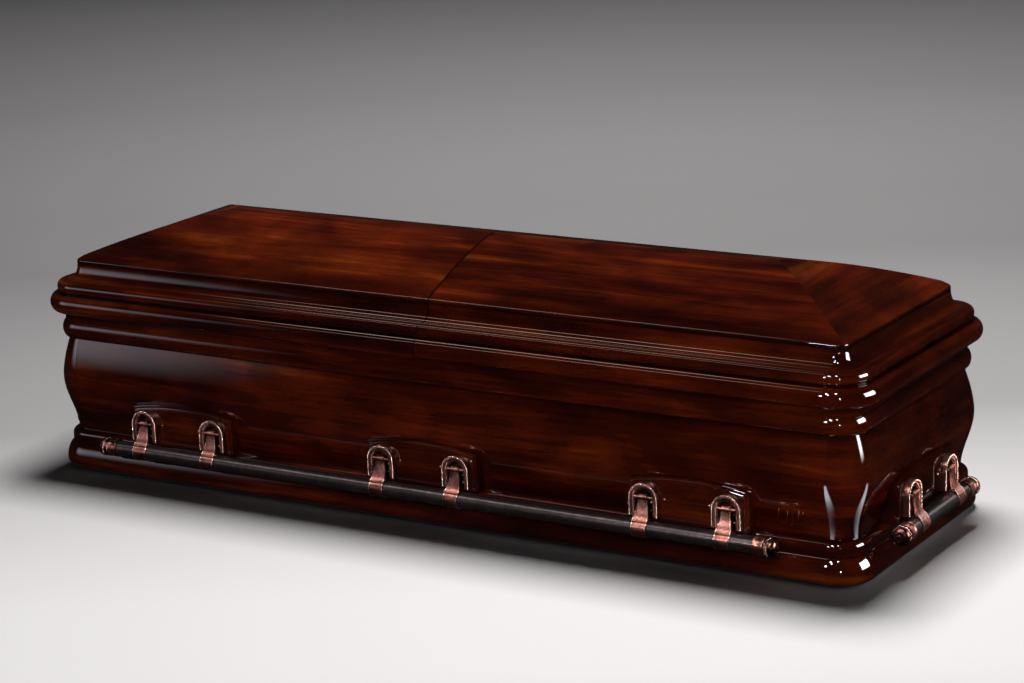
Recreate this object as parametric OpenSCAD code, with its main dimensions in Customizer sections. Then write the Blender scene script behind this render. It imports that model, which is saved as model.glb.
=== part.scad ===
// Half-couch funeral casket in mahogany, with a lid in two panels, stacked
// mouldings, bombe sides, hidden hinges at the back and swing bars on all
// four sides. +X is the foot end, -Y the front, Z up, and the origin is
// at the middle of the underside.
//
// Profiles are drawn as [o, z] points: o is how far a point stands outside
// the widest line of the lid moulding, and z is its height.

/* [Overall] */
// Length over the widest lid bead
length = 2134; // [1700:1:2600]
// Width over the widest lid bead
width = 711; // [590:1:860]
// Plan radius of that bead at the corners
corner_r = 94; // [90:1:120]

/* [Base] */
// Height of the base moulding
base_h = 96; // [80:1:120]
// How far the base bulge stands inside the lid bead
base_inset = 14; // [8:1:20]
// Thickness of the bottom board
board_t = 20; // [12:1:26]
// Height of the ledge that carries the bottom board
ledge_h = 18; // [12:1:30]

/* [Sides] */
// Height of the side panels
panel_h = 224; // [190:1:280]
// Thickness of the side panels
panel_t = 20; // [14:1:24]
// Height of the belly, the widest line of the panels, above the base
belly_h = 129; // [108:1:150]
// How far the belly stands inside the lid bead
belly_inset = 20; // [16:1:24]
// How far the foot of a panel stands inside the lid bead
foot_inset = 47; // [42:1:50]
// How far the head of a panel stands inside the lid bead
head_inset = 40; // [36:1:44]
// How far the corner posts stand proud of the panels at the belly
post_proud = 2; // [0:0.5:4]

/* [Rim of the box] */
// Height of the rim's bead
rim_bead_h = 46; // [36:1:56]
// Height of the set-back fillet above that bead
fillet_h = 17.6; // [16:0.1:26]
// How far the fillet stands inside the lid bead
fillet_inset = 33; // [31:1:36]

/* [Lid] */
// Clearance between the rim and the closed lid
lid_gap = 0.4; // [0.3:0.1:1]
// Width of the seam between the two lid panels
seam_gap = 2; // [1:0.5:4]
// Height of the lid's large bead
bead_h = 46; // [38:1:56]
// Depth of that bead
bead_d = 20; // [16:1:24]
// Height of the small bead above it
small_bead_h = 28; // [22:1:34]
// Height of the cove under the crown
cove_h = 38; // [30:1:48]
// How far the crown's edge stands inside the lid bead
crown_inset = 70; // [62:1:76]
// Thickness of the crown's edge
crown_edge = 10; // [8:1:16]
// Rise of the crown above its edge
crown_rise = 90; // [60:1:108]
// Shape of the crown's arch: 1 is a plain pitched roof, 2 a low round vault
crown_power = 1.4; // [1.2:0.05:2]
// Thickness of the crown
crown_t = 18; // [12:1:22]
// Thickness of the rail under each side of the seam
rail_t = 18; // [12:1:24]
// Width of the lid moulding's underside, from the lid bead to its inner face
lid_wall = 70; // [66:1:74]

/* [Hinges] */
// Distance of the inner hinges from the seam
hinge_in = 250; // [120:1:320]
// Distance of the outer hinges from the end of the casket
hinge_end = 267; // [160:1:330]
// Diameter of the hinge barrel
barrel_d = 10; // [8:0.5:11]
// Diameter of the hinge pin
hinge_pin_d = 5; // [3:0.5:6]
// Length of a hinge
hinge_l = 70; // [50:1:90]

/* [Handle plates] */
// Distance of the outer plates' centres from the end of the casket
plate_end = 405; // [360:1:430]
// Width of a plate at its top corners
plate_w = 280; // [264:1:310]
// Width of the plates on the ends of the casket
end_plate_w = 312; // [280:1:340]
// Extra width of a plate at its foot, on each side
plate_flare = 4; // [0:1:10]
// Height of a plate at its top corners
plate_h = 85; // [72:1:100]
// Rise of the plate's arched top
plate_rise = 14; // [6:1:22]
// How far the plate's face stands inside the lid bead
plate_inset = 10; // [6:1:14]
// Width of the step round the plate's face
plate_step = 8; // [5:1:12]
// Depth of that step
plate_step_d = 6; // [3:1:8]

/* [Lugs and arms] */
// Spacing of the two lugs on a plate
lug_pitch = 195; // [170:1:210]
// Width of a lug
lug_w = 68; // [60:1:74]
// Width of a lug's raised rim
lug_rim = 14; // [10:1:16]
// Depth of a lug
lug_d = 16; // [14:1:20]
// Thickness of a lug's back plate
lug_floor = 3; // [2:0.5:4]
// Height of the lug pin above the base moulding
pin_h = 51; // [46:1:60]
// Distance of the lug pin from the plate's face
pin_out = 10.5; // [10:0.5:12]
// Diameter of the lug pin
pin_d = 7; // [5:0.5:8]
// Clearance of a pin in its bore, on the radius
pin_fit = 0.05; // [0.02:0.01:0.09]
// Height of the lug's arch above its pin
lug_top = 31; // [28:1:36]
// Width of an arm at its pin
arm_w = 20; // [16:1:24]
// Width of an arm at the bar
arm_bar_w = 36; // [28:1:40]
// Thickness of an arm
arm_t = 5; // [4:0.5:6]
// Drop from the pin to the middle of the bar
arm_drop = 65; // [60:1:80]
// How far the middle of the bar hangs outside the pin
arm_lean = 9.5; // [8:0.5:14]
// Wall of the arm's ring round the bar
ring_wall = 2.5; // [2:0.5:4]

/* [Bars] */
// Diameter of the bars
bar_d = 36; // [30:1:43]
// Wall of the bars' tube
bar_wall = 3; // [1.5:0.5:5]
// Distance of the long bars' tips from the ends of the casket
bar_end = 183; // [150:1:210]
// Length of a tip beyond the bar
tip_l = 54; // [46:1:66]
// How far the short bars run past their arms before the tip
bar_over = 33; // [10:1:40]

/* [Hidden] */
STATIONS = ["front_head", "front_mid", "front_foot", "back_head", "back_mid", "back_foot",
            "head_end", "foot_end"];
SIDES = ["front", "back", "head_end", "foot_end"];
CORNERS = ["front_head", "front_foot", "back_head", "back_foot"];
LIDS = ["head", "foot"];
LID_PARTS = ["moulding", "cove", "crown", "rail"];
$fn = 48;

half_l = length / 2;
half_w = width / 2;

// Heights, stacked from the floor up
rim_z = base_h + panel_h;
fillet_z = rim_z + rim_bead_h;
rim_top = fillet_z + fillet_h;
lid_z = rim_top + lid_gap;
small_bead_z = lid_z + bead_h;
cove_z = small_bead_z + small_bead_h;
crown_z = cove_z + cove_h;
arris_z = crown_z + crown_edge;
top_z = arris_z + crown_rise;

// Base moulding
base_wall = 72;              // inner face of the base, inside the lid bead
ledge_w = 12;                // bearing of the bottom board
bulge_z = base_h * 0.23;     // height of the bulge's widest line
bulge_d = 31;                // depth of the bulge
crease_z = base_h - 32;      // height of the crease between bulge and top bead
top_bead_d = 16;             // depth of the bead at the top of the base

// Rim and lid mouldings
rim_bead_d = 15;
small_bead_d = 11;
cove_d = 24;
rim_wall = lid_wall - 2;
cove_wall = lid_wall + 14;

// Crown: an arch across the width, returned round each end, with the same arch inside it
crown_half = half_w - crown_inset;
crown_drop = crown_t * 1.1;  // the inner arch's fall below the outer, which makes it crown_t thick
crown_in = crown_half * pow(1 - (crown_drop - crown_edge) / crown_rise, 1 / crown_power);
crown_steps = 20;
clear_over = 20;             // how far cutting shapes run past what they cut

// Hinge barrel, hidden in the shadow of the lid bead
hinge_o = -24;
hinge_z = lid_z - 9;
leaf_t = 2;
hinge_slack = 0.3;

// Swing bars
plate_x = half_l - plate_end;
pin_z = base_h + pin_h;
pin_o = -plate_inset + pin_out;
bar_z = pin_z - arm_drop;
bar_o = pin_o + arm_lean;
bar_r = bar_d / 2;
ring_r = bar_r + ring_wall;
arm_l = sqrt(arm_drop * arm_drop + arm_lean * arm_lean);
arm_tilt = atan2(arm_lean, arm_drop);
eye_r = pin_d / 2 + 3;
lug_gap = 3;                 // clearance of the lug's feet from the arm's ring
lug_leg = arm_l - ring_r - lug_gap;
lug_round = lug_w / 2;
long_bar = half_l - bar_end - tip_l;
short_bar = lug_pitch / 2 + arm_bar_w / 2 + bar_over;
tip_r = bar_r + 4;
plug_l = 12;                 // length of a tip's plug in the tube

mahogany = "#5a1d0f";
copper = "#a8674f";
bronze_black = "#2b2322";
steel = "#8a8580";

// Points along part of an ellipse with centre c and radii r
function arc(c, r, from, to, n = 8) =
    [for (i = [0 : n]) let (t = from + (to - from) * i / n) [c[0] + r[0] * cos(t), c[1] + r[1] * sin(t)]];

// Outset of the panel's bowed face at height z
function bow(z) = let (up = z - base_h - belly_h)
    up > 0
        ? -belly_inset - (head_inset - belly_inset) * pow(up / (panel_h - belly_h), 1.6)
        : -belly_inset - (foot_inset - belly_inset) * (1 - cos(-180 * up / belly_h)) / 2;

// Heights at which the bowed face is drawn
function bow_levels(n = 16) = [for (i = [0 : n]) base_h + panel_h * i / n];

// How far a corner post stands proud of the panels at height z
function proud(z) = post_proud * sin(180 * (z - base_h) / panel_h);

// Height of the crown at distance y from the middle
function arch_z(y) = arris_z + crown_rise * (1 - pow(abs(y) / crown_half, crown_power));

function base_profile() = concat(
    [[-base_wall - ledge_w, 0]],
    arc([-base_inset - bulge_d, bulge_z], [bulge_d, bulge_z], -90, 0),
    arc([-base_inset - bulge_d, bulge_z], [bulge_d, base_h / 2], 10,
        asin((crease_z - bulge_z) / (base_h / 2)), 5),
    arc([-foot_inset, base_h - 15], [top_bead_d, 15], 0, 90, 5),
    [[-base_wall, base_h], [-base_wall, ledge_h], [-base_wall - ledge_w, ledge_h]]);

function wall_profile(extra = 0) = concat(
    [for (z = bow_levels()) [bow(z) + extra * proud(z), z]],
    [for (i = [16 : -1 : 0]) let (z = bow_levels()[i]) [bow(z) - panel_t, z]]);

function rim_profile() = concat(
    [[-rim_wall, rim_z]],
    arc([-head_inset, rim_z + rim_bead_h / 2], [rim_bead_d, rim_bead_h / 2], -90,
        acos((head_inset - fillet_inset) / rim_bead_d)),
    [[-fillet_inset, rim_top], [-rim_wall, rim_top]]);

function lid_profile() = concat(
    [[-lid_wall, lid_z]],
    arc([-bead_d, lid_z + bead_h / 2], [bead_d, bead_h / 2], -90, 90, 12),
    arc([-bead_d - 10, small_bead_z + small_bead_h / 2], [small_bead_d, small_bead_h / 2], -60, 90),
    [[-lid_wall, cove_z]]);

function cove_profile() = concat(
    [[-cove_wall, cove_z]],
    arc([cove_d - crown_inset, crown_z], [cove_d, cove_h], -90, -180),
    [[-cove_wall, crown_z]]);

// A profile run along a side, drawn outside the line y = 0, from x = from to x = to
module run(profile, from, to) {
    translate([from, 0, 0]) rotate([90, 0, 90]) linear_extrude(to - from)
        polygon([for (p = profile) [-p[0], p[1]]]);
}

// A profile turned a quarter circle about the middle of a corner, from angle start
module turn(profile, start) {
    rotate_extrude(angle = 90, start = start, $fn = 64) polygon([for (p = profile) [corner_r + p[0], p[1]]]);
}

// Places what is drawn outside the line y = 0 on one side of the casket
module on_side(side) {
    turned = side == "front" ? 0 : side == "foot_end" ? 90 : side == "back" ? 180 : -90;
    out = side == "front" || side == "back" ? half_w : half_l;
    rotate(turned) translate([0, -out, 0]) children();
}

// Half the straight length of a side, between its corners
function straight(side) = (side == "front" || side == "back" ? half_l : half_w) - corner_r;

module corner(profile, end, front) {
    start = end > 0 ? (front ? -90 : 0) : (front ? 180 : 90);
    translate([end * (half_l - corner_r), (front ? -1 : 1) * (half_w - corner_r), 0]) turn(profile, start);
}

// A moulding all the way round
module frame(profile) {
    for (s = SIDES) on_side(s) run(profile, -straight(s), straight(s));
    for (end = [-1, 1], front = [true, false]) corner(profile, end, front);
}

// A moulding round three sides of one lid panel; end is 1 for the foot, -1 for the head
module half_frame(profile, end) {
    for (s = ["front", "back"]) {
        way = s == "front" ? end : -end;
        near = seam_gap / 2;
        on_side(s) run(profile, way > 0 ? near : -straight(s), way > 0 ? straight(s) : -near);
    }
    s = end > 0 ? "foot_end" : "head_end";
    on_side(s) run(profile, -straight(s), straight(s));
    for (front = [true, false]) corner(profile, end, front);
}

module base_moulding() {
    color(mahogany) frame(base_profile());
}

module bottom_board() {
    color(mahogany) translate([0, 0, ledge_h]) linear_extrude(board_t) union() {
        for (p = [[half_l - base_wall, half_w - corner_r], [half_l - corner_r, half_w - base_wall]])
            square(2 * p, center = true);
        for (sx = [-1, 1], sy = [-1, 1])
            translate([sx * (half_l - corner_r), sy * (half_w - corner_r)]) circle(corner_r - base_wall);
    }
}

module rim_moulding() {
    color(mahogany) frame(rim_profile());
}

module panel(side) {
    color(mahogany) on_side(side) run(wall_profile(), -straight(side), straight(side));
}

module corner_post(c) {
    end = c == "front_foot" || c == "back_foot" ? 1 : -1;
    color(mahogany) corner(wall_profile(1), end, c == "front_head" || c == "front_foot");
}

// Half the section of the crown's arch, lowered by drop, up to its ridge
function arch_side(half, drop) =
    [for (i = [0 : crown_steps / 2]) let (y = -half * (1 - 2 * i / crown_steps)) [y, arch_z(y) - drop]];

// The whole section, from z = from up
function arch_section(half, drop, from) = concat(
    [[-half, from]], arch_side(half, drop),
    [for (i = [crown_steps / 2 - 1 : -1 : 0]) let (p = arch_side(half, drop)[i]) [-p[0], p[1]]],
    [[half, from]]);

// The space under the arch, returned round the end, over one lid panel
module vault(half, drop, from, seam) {
    middle = half_l - half_w;
    over = middle - seam + clear_over;
    intersection() {
        rotate([90, 0, 90]) translate([0, 0, seam]) linear_extrude(middle + half - seam)
            polygon(arch_section(half, drop, from));
        translate([middle, half_w, 0]) rotate([90, 0, 0]) linear_extrude(width)
            polygon(concat([[half, from]], [for (p = arch_side(half, drop)) [-p[0], p[1]]],
                [[0, top_z + clear_over], [-over, top_z + clear_over], [-over, from]]));
    }
}

module lid_crown(end) {
    edge_r = corner_r - crown_inset;
    edge_x = half_l - crown_inset;
    tall = crown_rise + 3 * clear_over;
    color(mahogany) rotate(end > 0 ? 0 : 180) difference() {
        intersection() {
            vault(crown_half, 0, crown_z, seam_gap / 2);
            translate([0, 0, crown_z - clear_over]) union() {
                for (p = [[edge_x, crown_half - edge_r], [edge_x - edge_r, crown_half]])
                    translate([0, -p[1], 0]) cube([p[0], 2 * p[1], tall]);
                for (sy = [-1, 1])
                    translate([edge_x - edge_r, sy * (crown_half - edge_r), 0]) cylinder(r = edge_r, h = tall);
            }
        }
        vault(crown_in, crown_drop, crown_z - 1, -clear_over);
    }
}

// The rail that closes a lid panel along the seam
module lid_rail(end) {
    low = half_w - lid_wall;
    mid = half_w - cove_wall;
    outline = concat([[-low, lid_z], [-low, cove_z], [-mid, cove_z], [-mid, crown_z]],
        arch_section(crown_in, crown_drop, crown_z),
        [[mid, crown_z], [mid, cove_z], [low, cove_z], [low, lid_z]]);
    color(mahogany) rotate(end > 0 ? 0 : 180) translate([seam_gap / 2, 0, 0])
        rotate([90, 0, 90]) linear_extrude(rail_t) polygon(outline);
}

module lid_moulding(end) {
    color(mahogany) half_frame(lid_profile(), end);
}

module lid_cove(end) {
    color(mahogany) half_frame(cove_profile(), end);
}

// Places of a lid panel's two hinges along the back, which runs the other way
function hinge_places(end) = [-end * hinge_in, -end * (half_l - hinge_end)];

// A length of hinge barrel from x = from to x = to
module barrel(from, to, d) {
    translate([from, -hinge_o, hinge_z]) rotate([0, 90, 0]) cylinder(d = d, h = to - from);
}

// The fixed leaf on the rim's fillet, with the two outer knuckles and the pin
module hinge_box(end) {
    knuckle = hinge_l / 4;
    color(steel) on_side("back") for (x = hinge_places(end)) translate([x, 0, 0]) {
        translate([-hinge_l / 2, fillet_inset - leaf_t, fillet_z + 1])
            cube([hinge_l, leaf_t, fillet_h - 4]);
        for (side = [-1, 1]) {
            from = side > 0 ? hinge_l / 2 - knuckle : -hinge_l / 2;
            barrel(from, from + knuckle, barrel_d);
            translate([from, -hinge_o, hinge_z - leaf_t])
                cube([knuckle, fillet_inset - leaf_t + hinge_o, 2 * leaf_t]);
        }
        barrel(-hinge_l / 2, hinge_l / 2, hinge_pin_d);
    }
}

// The moving leaf under the lid bead, with the middle knuckle
module hinge_lid(end) {
    half = hinge_l / 4 - hinge_slack;
    color(steel) on_side("back") for (x = hinge_places(end)) translate([x, 0, 0]) difference() {
        union() {
            translate([-half, -hinge_o - 7, lid_z - leaf_t]) cube([2 * half, 13, leaf_t]);
            translate([-half, -hinge_o - 2, hinge_z]) cube([2 * half, 4, lid_z - hinge_z]);
            barrel(-half, half, barrel_d);
        }
        barrel(-half - 1, half + 1, hinge_pin_d + 2 * pin_fit);
    }
}

// The side that a handle station is on, and its place along that side
function station_side(s) = s == "head_end" || s == "foot_end" ? s
    : len(search("k", s)) > 0 ? "back" : "front";
function station_x(s) = s == "front_head" || s == "back_foot" ? -plate_x
    : s == "front_foot" || s == "back_head" ? plate_x : 0;

module at_station(s) {
    on_side(station_side(s)) translate([station_x(s), 0, 0]) children();
}

// Outline of the face of a plate, drawn in from its edge by a margin
module plate_outline(w, margin) {
    top = w / 2 - margin;
    foot = w / 2 + plate_flare - margin;
    rise = [for (i = [-6 : 6]) [top * i / 6, plate_h + plate_rise * (1 - pow(i / 6, 2)) - margin]];
    polygon(concat([[-foot, 0]], rise, [[foot, 0]]));
}

// An arched block that fits the bowed panel and has a stepped edge
module plate(s) {
    w = station_side(s) == s ? end_plate_w : plate_w;
    step_o = -plate_inset - plate_step_d;
    levels = [for (z = bow_levels()) if (z < base_h + plate_h + plate_rise + 15) z];
    back = [for (z = levels) [bow(z), z]];
    top = levels[len(levels) - 1];
    color(mahogany) at_station(s) union() {
        intersection() {
            run(concat([[step_o, base_h]], back, [[step_o, top]]), -w, w);
            translate([0, 0, base_h]) rotate([90, 0, 0]) translate([0, 0, -100])
                linear_extrude(200) plate_outline(w, 0);
        }
        translate([0, -step_o, base_h]) rotate([90, 0, 0]) linear_extrude(plate_step_d)
            plate_outline(w, plate_step);
    }
}

module lug_outline(r) {
    circle(r);
    translate([-r, -(lug_leg + lug_top - lug_round)]) square([2 * r, lug_leg + lug_top - lug_round]);
}

// Two horseshoe lugs, each with a pin across its recess
module lugs(s) {
    inner = lug_round - lug_rim;
    round_z = pin_z + lug_top - lug_round;
    color(copper) at_station(s) for (side = [-1, 1])
        translate([side * lug_pitch / 2, plate_inset, round_z]) rotate([90, 0, 0]) union() {
            linear_extrude(lug_floor) lug_outline(lug_round);
            linear_extrude(lug_d) difference() {
                lug_outline(lug_round);
                circle(inner);
                translate([-inner, -2 * lug_leg]) square([2 * inner, 2 * lug_leg]);
            }
            translate([-inner - 2, lug_round - lug_top, pin_out]) rotate([0, 90, 0])
                cylinder(d = pin_d, h = 2 * inner + 4);
        }
}

// Two tapered arms, each with an eye for its pin and a ring round the bar
module arms(s) {
    web = [[-arm_w / 2, 0], [arm_w / 2, 0], [arm_bar_w / 2, -arm_l + bar_r], [arm_bar_w / 2, -arm_l],
           [-arm_bar_w / 2, -arm_l], [-arm_bar_w / 2, -arm_l + bar_r]];
    color(copper) at_station(s) for (side = [-1, 1])
        translate([side * lug_pitch / 2, -pin_o, pin_z]) rotate([-arm_tilt, 0, 0]) difference() {
            union() {
                translate([0, arm_t / 2, 0]) rotate([90, 0, 0]) linear_extrude(arm_t) polygon(web);
                translate([-arm_w / 2, 0, 0]) rotate([0, 90, 0]) cylinder(r = eye_r, h = arm_w);
                translate([-arm_bar_w / 2, 0, -arm_l]) rotate([0, 90, 0]) cylinder(r = ring_r, h = arm_bar_w);
            }
            translate([-arm_bar_w, 0, 0]) rotate([0, 90, 0])
                cylinder(r = pin_d / 2 + pin_fit, h = 2 * arm_bar_w);
            translate([-arm_bar_w, 0, -arm_l]) rotate([0, 90, 0])
                cylinder(r = bar_r + pin_fit, h = 2 * arm_bar_w);
        }
}

// Half the length of a side's bar without its tips
function bar_half(side) = side == "front" || side == "back" ? long_bar : short_bar;

module bar(side) {
    half = bar_half(side);
    color(bronze_black) on_side(side) translate([-half, -bar_o, bar_z]) rotate([0, 90, 0]) difference() {
        cylinder(r = bar_r, h = 2 * half);
        translate([0, 0, -1]) cylinder(r = bar_r - bar_wall, h = 2 * half + 2);
    }
}

// Turned ends of a bar: a plug in the tube, a collar, a ringed neck and a round knob
module tips(side) {
    knob = tip_l * 0.22;
    plug_r = bar_r - bar_wall;
    outline = concat(
        [[0, -plug_l], [plug_r, -plug_l], [plug_r, 0], [tip_r - 1, 0], [tip_r - 1, tip_l * 0.45],
         [bar_r - 2, tip_l * 0.48], [bar_r - 2, tip_l * 0.52]],
        arc([bar_r - 3, tip_l * 0.58], [3, tip_l * 0.05], -80, 80, 4),
        arc([tip_r - knob, tip_l - knob - 3], [knob, knob], -40, 90, 8),
        [[6, tip_l - 3], [5, tip_l], [0, tip_l]]);
    color(copper) on_side(side) for (way = [-1, 1])
        translate([way * bar_half(side), -bar_o, bar_z]) rotate([0, way * 90, 0])
            rotate_extrude() polygon(outline);
}

base_moulding();
bottom_board();
rim_moulding();
for (s = SIDES) {
    panel(s);
    bar(s);
    tips(s);
}
for (c = CORNERS)
    corner_post(c);
for (l = LIDS) {
    end = l == "foot" ? 1 : -1;
    lid_moulding(end);
    lid_cove(end);
    lid_crown(end);
    lid_rail(end);
    hinge_box(end);
    hinge_lid(end);
}
for (s = STATIONS) {
    plate(s);
    lugs(s);
    arms(s);
}
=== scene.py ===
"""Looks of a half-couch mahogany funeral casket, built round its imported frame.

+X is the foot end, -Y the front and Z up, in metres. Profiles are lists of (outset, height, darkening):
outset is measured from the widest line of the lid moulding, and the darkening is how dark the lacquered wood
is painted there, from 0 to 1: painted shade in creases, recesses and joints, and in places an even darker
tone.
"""
import math

import bmesh
import bpy
from mathutils import Matrix, Vector


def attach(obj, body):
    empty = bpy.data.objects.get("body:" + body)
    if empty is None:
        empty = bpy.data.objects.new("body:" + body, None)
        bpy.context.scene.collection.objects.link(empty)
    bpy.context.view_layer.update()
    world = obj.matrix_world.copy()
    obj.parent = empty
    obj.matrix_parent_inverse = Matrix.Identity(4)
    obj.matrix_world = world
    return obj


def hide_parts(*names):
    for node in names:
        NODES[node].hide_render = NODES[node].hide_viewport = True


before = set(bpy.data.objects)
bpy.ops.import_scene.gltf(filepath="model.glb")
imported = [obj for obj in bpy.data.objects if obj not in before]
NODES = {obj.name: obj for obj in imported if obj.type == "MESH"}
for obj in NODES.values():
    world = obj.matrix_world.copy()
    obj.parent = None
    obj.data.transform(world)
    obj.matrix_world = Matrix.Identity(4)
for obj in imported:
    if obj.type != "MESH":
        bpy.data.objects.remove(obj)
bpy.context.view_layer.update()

# ---- sizes of the casket

HALF_L, HALF_W = 1.067, 0.3555      # to the widest lid bead
CORNER_R = 0.094
BASE_H, RIM_Z, FILLET_Z, RIM_TOP = 0.096, 0.320, 0.366, 0.3836
LID_Z, SMALL_BEAD_Z, COVE_Z, CROWN_Z = 0.384, 0.430, 0.458, 0.496
ARRIS_Z, CROWN_RISE, CROWN_POWER = 0.506, 0.090, 1.4
CROWN_INSET, CROWN_DROP = 0.070, 0.0198
SEAM = 0.001                        # half the gap between the lid panels
PANEL_T, PANEL_H, BELLY_H = 0.020, 0.224, 0.129
BASE_WALL, LEDGE_W, LEDGE_H = 0.072, 0.012, 0.018
RIM_WALL, LID_WALL, COVE_WALL = 0.068, 0.070, 0.084

PLATE_X = 0.662                     # outer plates, from the middle of the casket
PLATE_W, END_PLATE_W, PLATE_FLARE = 0.280, 0.312, 0.004
PLATE_H, PLATE_RISE, PLATE_O = 0.085, 0.014, -0.010
LUG_PITCH, LUG_R, LUG_INNER = 0.195, 0.034, 0.020
PIN_Z, PIN_O, PIN_R, LUG_TOP = 0.147, 0.0005, 0.0035, 0.031
ARM_DROP, ARM_LEAN, ARM_W, ARM_BAR_W, ARM_T = 0.065, 0.0095, 0.020, 0.036, 0.005
BAR_R, RING_R, TIP_R, TIP_L = 0.018, 0.0205, 0.0217, 0.054
BAR_WALL, LONG_BAR, SHORT_BAR = 0.003, 0.830, 0.1485   # bars are given by half their length
ARM_L = math.hypot(ARM_DROP, ARM_LEAN)
LUG_GAP = 0.003                     # between a lug's feet and the arm's ring
LUG_LEG = ARM_L - RING_R - LUG_GAP
BAR_O, BAR_Z = PIN_O + ARM_LEAN, PIN_Z - ARM_DROP

SIDES = ("front", "back", "head_end", "foot_end")
SPIN = {"front": 0, "foot_end": 90, "back": 180, "head_end": 270}
REACH = {"front": HALF_W, "back": HALF_W, "head_end": HALF_L, "foot_end": HALF_L}
BAR_HALF = {"front": LONG_BAR, "back": LONG_BAR, "head_end": SHORT_BAR, "foot_end": SHORT_BAR}
STATIONS = {"front_head": ("front", -PLATE_X), "front_mid": ("front", 0), "front_foot": ("front", PLATE_X),
            "back_head": ("back", PLATE_X), "back_mid": ("back", 0), "back_foot": ("back", -PLATE_X),
            "head_end": ("head_end", 0), "foot_end": ("foot_end", 0)}

# ---- materials


class Nodes:
    """A material's node tree, with short calls to add nodes and link them."""

    def __init__(self, name):
        self.material = bpy.data.materials.new(name)
        self.material.use_nodes = True
        self.tree = self.material.node_tree
        self.shader = self.tree.nodes["Principled BSDF"]

    def add(self, kind, **settings):
        node = self.tree.nodes.new("ShaderNode" + kind)
        for key, value in settings.items():
            setattr(node, key, value)
        return node

    def feed(self, socket, value):
        if isinstance(value, bpy.types.NodeSocket):
            self.tree.links.new(value, socket)
        else:
            socket.default_value = value

    def place(self, source, scale=(1, 1, 1), location=(0, 0, 0)):
        node = self.add("Mapping")
        self.feed(node.inputs["Vector"], source)
        node.inputs["Scale"].default_value = scale
        node.inputs["Location"].default_value = location
        return node.outputs[0]

    def noise(self, vector, scale=1.0, detail=4.0, roughness=0.55, distortion=0.0):
        node = self.add("TexNoise")
        self.feed(node.inputs["Vector"], vector)
        settings = {"Scale": scale, "Detail": detail, "Roughness": roughness, "Distortion": distortion}
        for key, value in settings.items():
            node.inputs[key].default_value = value
        return node.outputs["Fac"]

    def ramp(self, fac, *stops):
        node = self.add("ValToRGB")
        self.feed(node.inputs[0], fac)
        points = node.color_ramp.elements
        while len(points) < len(stops):
            points.new(0.5)
        for point, (place, colour) in zip(points, stops):
            point.position = place
            point.color = (*colour, 1) if hasattr(colour, "__len__") else (colour, colour, colour, 1)
        return node.outputs["Color"]

    def mix(self, fac, a, b, blend="MIX"):
        node = self.add("Mix", data_type="RGBA", blend_type=blend)
        self.feed(node.inputs["Factor"], fac)
        self.feed(node.inputs[6], a)
        self.feed(node.inputs[7], b)
        return node.outputs[2]

    def math(self, operation, a, b=0.0, clamp=False):
        node = self.add("Math", operation=operation, use_clamp=clamp)
        self.feed(node.inputs[0], a)
        self.feed(node.inputs[1], b)
        return node.outputs[0]

    def bump(self, height, distance, strength=1.0, normal=None):
        node = self.add("Bump")
        self.feed(node.inputs["Height"], height)
        node.inputs["Distance"].default_value = distance
        node.inputs["Strength"].default_value = strength
        if normal is not None:
            self.feed(node.inputs["Normal"], normal)
        return node.outputs[0]

    def attribute(self, name):
        return self.add("Attribute", attribute_name=name).outputs

    def set(self, **values):
        for key, value in values.items():
            self.feed(self.shader.inputs[key.replace("_", " ")], value)
        return self.material


def wood(name, on_object=False, lacquer=True):
    """Mahogany. The grain runs along x of the piece's grain attribute, or of the object itself."""
    n = Nodes(name)
    place = n.add("TexCoord").outputs["Object"] if on_object else n.attribute("grain")["Vector"]
    drift = n.noise(n.place(place, (1.3, 5, 5), (3, 1, 7)), 1.0, 3, 0.5, 0.3)
    figure = n.noise(n.place(place, (1.5, 19, 19)), 1.0, 5, 0.56, 0.6)
    streak = n.noise(n.place(place, (4.5, 120, 120)), 1.0, 4, 0.6)
    pores = n.noise(n.place(place, (55, 1500, 1500)), 1.0, 2, 0.5)
    body = n.math("ADD", n.math("MULTIPLY", figure, 0.78), n.math("MULTIPLY", streak, 0.22))
    if lacquer:
        stops = ((0.30, (0.010, 0.0010, 0.0006)), (0.46, (0.041, 0.0040, 0.0011)),
                 (0.58, (0.082, 0.0098, 0.0017)), (0.72, (0.200, 0.0380, 0.0048)))
    else:
        stops = ((0.34, (0.210, 0.080, 0.0340)), (0.50, (0.340, 0.145, 0.0680)),
                 (0.68, (0.460, 0.225, 0.1150)))
    colour = n.ramp(body, *stops)
    shade = n.ramp(drift, (0.32, (0.36, 0.30, 0.30)), (0.66, (1.2, 1.2, 1.0)))
    blots = n.noise(n.place(place, (6, 10, 10), (0, 5, 2)), 1.0, 2, 0.5, 0.5)
    patches = n.ramp(blots, (0.36, 0.66), (0.64, 1.42))
    contrast = 1.0 if lacquer else 0.35
    colour = n.mix(contrast, n.mix(contrast, colour, shade, "MULTIPLY"), patches, "MULTIPLY")
    dark_pores = n.ramp(pores, (0.36, 0.45), (0.46, 1.0))
    colour = n.mix(0.75, colour, dark_pores, "MULTIPLY")
    if not on_object:
        # painted shade: this attribute takes the wood towards near black in creases, recesses and joints, and
        # gives some faces an even darker tone
        glaze = n.attribute("glaze")["Fac"]
        colour = n.mix(glaze, colour, (0.0050, 0.0008, 0.0005, 1))
    relief = n.bump(n.math("ADD", streak, n.math("MULTIPLY", pores, 0.5)), 0.00012, 0.35)
    n.set(Base_Color=colour, Normal=relief)
    if lacquer:
        wave = n.bump(n.noise(n.place(place, (9, 30, 30)), 1.0, 2, 0.5), 0.0006, 0.10)
        return n.set(Roughness=n.math("ADD", 0.30, n.math("MULTIPLY", streak, 0.16)), Specular_IOR_Level=0.0,
                     Coat_Weight=1.0, Coat_Roughness=0.022, Coat_IOR=1.5, Coat_Normal=wave)
    return n.set(Roughness=n.math("ADD", 0.50, n.math("MULTIPLY", streak, 0.25)), Specular_IOR_Level=0.3)


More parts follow.
